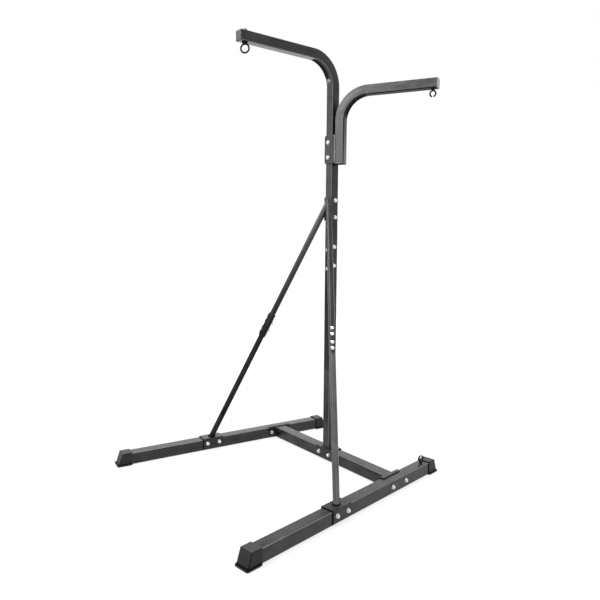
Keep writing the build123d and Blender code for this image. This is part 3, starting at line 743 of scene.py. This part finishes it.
# Braces: 31 mm round tube in two lengths, butted inside a pair of curved clamp plates. They are
# welded to a saddle on each rail, and at the top to a bracket round the post, with gussets. They
# share one black powder, but each brace and clamp is given its own tone, gloss, dullness and shine
# as painted light and shade, and the gussets are painted near black as shade.
# Painted light and shade: each tone is paler where light falls on the piece and darker where it is
# in shade.
brace_light_and_shade = {
    "left_lower": (0.105, 0.26, 0.3, 0.42), "left_upper": (0.026, 0.26, 0.4, 0.42),
    "right_lower": (0.014, 0.38, 0.95, 0.2), "right_upper": (0.02, 0.3, 0.6, 0.3),
}
clamp_light_and_shade = {"left": (0.045, 0.33, 0.7, 0.35), "right": (0.009, 0.4, 0.9, 0.2)}


def brace_finish(name, course, tone, gloss, dull, shine):
    return with_shine(powder_coat(name, grey(tone), gloss, course, None, dull), shine)


# Painted shade: a near-black coat with no shine, for lines laid where shade falls.
shade_line_black = shaded_coat("shade_line_black", grey(0.004), 0.0)
brace_half = 0.0155
brace_place = 0.438
brace_lean = 0.009
brace_rise = 0.274
rail_top = rail_level + rail_half


def brace_line(side):
    """Where a brace's middle line leaves its rail and meets the bracket, and its course."""
    rail_point = Vector((
        post_x + brace_place * math.cos(splay),
        side * (rail_spread + brace_place * math.sin(splay)),
        rail_top,
    ))
    web_point = Vector((post_x + post_half + plate, side * brace_lean, joint_height + brace_rise))
    return rail_point, web_point, (web_point - rail_point).normalized()


def paint_head_highlight(coat):
    """Paint a highlight on a brace, paler towards its head."""
    tree = coat.node_tree
    recoat(coat, ranged(tree, height_of(tree), 0.85, 1.4, 0, 0.3), painted_highlight_grey, dulled=False)


def paint_shade_line(side, name, node, thick):
    """A near-black line of painted shade over a rail at the front edge of a piece that sits on it.
    """
    rail_course, rail_abreast = rail_courses(side)
    rail_start = Vector((post_x, side * rail_spread, rail_level))
    place = max((corner.co - rail_start).dot(rail_course) for corner in nodes[node].data.vertices)
    outline = square_outline(rail_half + 0.0005, rail_corner)
    over_rail = [point for point in outline if point.y > -0.026]
    over_rail.sort(key=lambda point: math.atan2(point.y, point.x))
    path = [
        rail_start + rail_course * place + rail_abreast * point.x + Vector((0, 0, point.y))
        for point in over_rail
    ]
    weld_bead(name, path, thick, False, shade_line_black)


for side, side_name in sides:
    climb = brace_line(side)[2]
    drawn = (0, -math.asin(climb.z), math.atan2(climb.y, climb.x))
    foot_coat = plate_coat(
        f"{side_name}_brace_foot_coat", (0, 0, side * splay), rail_courses(side)[0],
        tone=(0.016, 0.016, 0.0162), dull=0.6,
    )
    dress(foot_coat, f"{side_name}_brace_foot")
    for length in ("upper", "lower"):
        looks = brace_light_and_shade[f"{side_name}_{length}"]
        brace_coat = brace_finish(f"{side_name}_{length}_brace_coat", drawn, *looks)
        if (side_name, length) == ("right", "upper"):
            paint_head_highlight(brace_coat)
        dress(brace_coat, f"{side_name}_{length}_brace")
    clamp_coat = brace_finish(f"{side_name}_clamp_coat", drawn, *clamp_light_and_shade[side_name])
    dress(clamp_coat, f"{side_name}_outer_brace_clamp", f"{side_name}_inner_brace_clamp")
    # Painted shade: the gussets are coated near black.
    gusset_coat = powder_coat(f"{side_name}_gusset_coat", grey(0.01), 0.4, upright, None, 0.8)
    dress(gusset_coat, f"{side_name}_brace_gusset")
dress(plate_coat("brace_bracket_coat", upright, straight_up), "brace_bracket")
for side, side_name in sides:
    rail_point, web_point, course = brace_line(side)
    over = course.orthogonal().normalized()
    abreast = course.cross(over)
    foot_seam, head_seam = [], []
    for step in range(round_cuts):
        turn = 2 * math.pi * step / round_cuts
        wall = (over * math.cos(turn) + abreast * math.sin(turn)) * (brace_half + 0.0006)
        start = rail_point + wall
        foot_seam.append(start + course * ((rail_top + plate + 0.001 - start.z) / course.z))
        end = web_point + wall
        head_seam.append(end + course * ((web_point.x + 0.001 - end.x) / course.x))
    # Painted shade: the brace's foot weld and the lines over the rails at the saddle and the rear
    # foot are near black.
    weld_bead(f"{side_name}_brace_foot_weld", foot_seam, 0.0034, True, shade_line_black)
    paint_shade_line(side, f"{side_name}_saddle_shade_line", f"{side_name}_brace_foot", 0.0032)
    paint_shade_line(side, f"{side_name}_mouth_shade_line", f"{side_name}_rear_foot", 0.0026)
    clear_of_other = [point.y * side > 0.0025 for point in head_seam]
    steps = range(round_cuts)
    first = next(i for i in steps if clear_of_other[i] and not clear_of_other[i - 1])
    around = [(first + i) % round_cuts for i in steps]
    open_seam = [head_seam[i] for i in around if clear_of_other[i]]
    weld_bead(f"{side_name}_brace_head_weld", open_seam, 0.0028, closed=False)


# Main eye: a forged black eye bolt that hangs in the main arm from a black dome nut, on a
# washer, and swivels. The forging flows from its ring into its shoulder through a short neck.
def turned(mesh, seat, axis, profile, start=0.0, closed=False):
    """Skin a turned or milled shape. Each step of its profile gives a reach and a rise."""
    across = axis.orthogonal().normalized()
    over = axis.cross(across)
    rings = []
    for step_of_profile in profile:
        ring = []
        for step in range(round_cuts):
            turn = 2 * math.pi * step / round_cuts
            reach, rise = step_of_profile(turn)
            spoke = across * math.cos(turn + start) + over * math.sin(turn + start)
            ring.append(seat + axis * rise + spoke * reach)
        rings.append(ring)
    skin_over(mesh, rings, closed)


def round_step(reach, rise):
    return lambda turn: (reach, rise)


eye_coat = shaded_coat("eye_coat", (0.009, 0.009, 0.0095), 0.14)
dress(eye_coat, "main_eye", "main_eye_washer", "main_eye_nut")
neck_top = main_eye_box[0][2] - 0.004
neck = bmesh.new()
turned(neck, main_eye_line + Vector((0, 0, neck_top)), Vector((0, 0, -1)), [
    round_step(0.0118, -0.0002), round_step(0.0092, 0.0007), round_step(0.0073, 0.0018),
    round_step(0.006, 0.0033), round_step(0.0053, 0.005), round_step(0.0046, 0.0056),
])
make_piece("main_eye_neck", neck, eye_coat, "main_eye")


# Open eyes: black wire bent into a ring with a gap, one under the second arm and one on the left
# rail. Each is locked by a jam nut against a nut welded inside the tube.
cone_share = 0.95


def hex_reach(turn, across_flats):
    """Distance from a hexagon's middle to its side at this turn."""
    return across_flats / 2 / math.cos(turn % (math.pi / 3) - math.pi / 6)


def hex_step(across_flats, rise, bevel=0.0):
    """A six-sided step of a profile. Its corners are bevelled away by a 30 degree cone."""
    cone_reach = cone_share * across_flats / 2
    return lambda turn: (
        hex_reach(turn, across_flats),
        rise - bevel * (hex_reach(turn, across_flats) - cone_reach) * math.tan(math.radians(30)),
    )


def plain_nut(mesh, seat, axis, across_flats, height, bore, start=0.0):
    cone_reach = cone_share * across_flats / 2
    turned(mesh, seat, axis, [
        round_step(bore, 0.0), round_step(cone_reach, 0.0), hex_step(across_flats, 0.0, -1),
        hex_step(across_flats, height, 1), round_step(cone_reach, height),
        round_step(bore + 0.0007, height), round_step(bore, height - 0.0007),
    ], start, closed=True)


jam_size, jam_bore = 0.017, 0.004
dress(eye_coat, "second_arm_eye", "floor_eye")
dress(bare_steel, "second_arm_eye_weld_nut", "floor_eye_weld_nut")
for place_name, start in (("second_arm", 0.5), ("floor", 0.9)):
    low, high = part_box(f"{place_name}_eye_jam_nut")
    seat = Vector(((low[0] + high[0]) / 2, (low[1] + high[1]) / 2, low[2]))
    jam_nut = bmesh.new()
    plain_nut(jam_nut, seat, Vector((0, 0, 1)), jam_size, high[2] - low[2], jam_bore, start)
    piece = make_piece(f"{place_name}_jam_nut", jam_nut, eye_coat)
    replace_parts(piece, f"{place_name}_eye_jam_nut")


# Bolts and nuts: M10 flange bolts with rolled thread and flange nuts, and M8 dome-headed bolts
# through the brace clamps, all plated with bright zinc.
zinc = metal("bright_zinc", (0.72, 0.725, 0.735), 0.2)
head_height, nut_height, tail = 0.0065, 0.008, 0.004
dome_height, clamp_nut_height, clamp_tail = 0.005, 0.0065, 0.0025
clamp_nut_size, clamp_nut_bore = 0.013, 0.004


def bolt_solids(name):
    """Where each bolt of a CAD group has the top of its head, its axis and its length."""
    group = bmesh.new()
    group.from_mesh(nodes[name].data)
    bmesh.ops.remove_doubles(group, verts=group.verts, dist=1e-6)
    end = 0.004
    left = dict.fromkeys(group.verts)
    found = []
    while left:
        solid = [left.popitem()[0]]
        for corner in solid:
            for edge in corner.link_edges:
                other = edge.other_vert(corner)
                if other in left:
                    del left[other]
                    solid.append(other)
        points = np.array([corner.co[:] for corner in solid])
        centre = points.mean(axis=0)
        axis = np.linalg.svd(points - centre)[2][0]
        along = (points - centre) @ axis
        wide = np.linalg.norm(points - centre - np.outer(along, axis), axis=1)
        if wide[along > along.max() - end].max() < wide[along < along.min() + end].max():
            axis, along = -axis, -along
        top = Vector(centre + axis * along.max())
        found.append((top, Vector(axis).normalized(), along.max() - along.min()))
    group.free()
    return sorted(found, key=lambda bolt: [round(at, 4) for at in bolt[0]])


def thread_steps(radius, first, last, pitch):
    """Steps of a rolled thread, whose ridge climbs one pitch in each turn."""
    depth = 0.55 * pitch
    count = round((first - last) / (pitch / 4))

    def ridge(rise):
        def reach_at(turn):
            phase = (rise / pitch + turn / (2 * math.pi)) % 1
            return radius - depth * abs(2 * phase - 1), rise
        return reach_at

    return [ridge(first + (last - first) * step / count) for step in range(count + 1)]


def flange_bolt(mesh, seat, axis, length, start):
    hex_size, head, flange, shank, pitch = 0.017, head_height, 0.0105, 0.005, 0.0015
    cone_reach = cone_share * hex_size / 2
    profile = [
        round_step(0.0048, head - 0.0005), round_step(0.0062, head), round_step(cone_reach, head),
        hex_step(hex_size, head, 1), hex_step(hex_size, 0.0026), round_step(0.0099, 0.002),
        round_step(flange, 0.0013), round_step(flange, 0.0004), round_step(0.0101, 0.0),
        round_step(shank, 0.0), round_step(shank, 0.0065 - length),
    ]
    profile += thread_steps(shank, 0.006 - length, 0.0006 - length, pitch)
    profile.append(round_step(0.0036, -length))
    turned(mesh, seat, axis, profile, start)


def flange_nut(mesh, seat, axis, start):
    hex_size, height, flange, bore = 0.017, nut_height, 0.0105, 0.005
    cone_reach = cone_share * hex_size / 2
    turned(mesh, seat, axis, [
        round_step(bore, 0.0), round_step(0.0101, 0.0), round_step(flange, 0.0004),
        round_step(flange, 0.0013), round_step(0.0099, 0.002), hex_step(hex_size, 0.0026),
        hex_step(hex_size, height, 1), round_step(cone_reach, height),
        round_step(bore + 0.0008, height), round_step(bore, height - 0.0008),
    ], start, closed=True)


def dome_bolt(mesh, seat, axis, length, start):
    rim, rise, shank, pitch = 0.009, dome_height, 0.004, 0.00125
    ball = (rim**2 + rise**2) / (2 * rise)
    slope = math.asin(rim / ball)
    tilts = [slope * step / 9 for step in range(1, 9)]
    profile = [
        round_step(ball * math.sin(tilt), rise - ball * (1 - math.cos(tilt))) for tilt in tilts
    ]
    profile += [round_step(rim, 0.0004), round_step(rim - 0.0002, 0.0), round_step(shank, 0.0)]
    profile.append(round_step(shank, 0.0045 - length))
    profile += thread_steps(shank, 0.004 - length, 0.0005 - length, pitch)
    profile.append(round_step(0.003, -length))
    turned(mesh, seat, axis, profile, start)


for group in ("end_bracket", "brace_foot", "post_saddle", "splice", "brace_bracket", "clasp"):
    bolts, nuts = bmesh.new(), bmesh.new()
    for index, (top, axis, length) in enumerate(bolt_solids(f"{group}_bolts")):
        seat = top - axis * head_height
        flange_bolt(bolts, seat, axis, length - head_height, 0.4 + 0.7 * index)
        nut_seat = seat - axis * (length - head_height - tail - nut_height)
        flange_nut(nuts, nut_seat, -axis, 0.2 + 1.1 * index)
    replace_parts(make_piece(f"plated_{group}_bolts", bolts, zinc), f"{group}_bolts")
    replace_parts(make_piece(f"plated_{group}_nuts", nuts, zinc), f"{group}_nuts")
bolts, nuts = bmesh.new(), bmesh.new()
for index, (top, axis, length) in enumerate(bolt_solids("brace_clamp_bolts")):
    seat = top - axis * dome_height
    dome_bolt(bolts, seat, axis, length - dome_height, 0.0)
    nut_seat = seat - axis * (length - dome_height - clamp_tail - clamp_nut_height)
    nut_turn = 0.3 + 0.9 * index
    plain_nut(nuts, nut_seat, -axis, clamp_nut_size, clamp_nut_height, clamp_nut_bore, nut_turn)
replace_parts(make_piece("plated_brace_clamp_bolts", bolts, zinc), "brace_clamp_bolts")
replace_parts(make_piece("plated_brace_clamp_nuts", nuts, zinc), "brace_clamp_nuts")
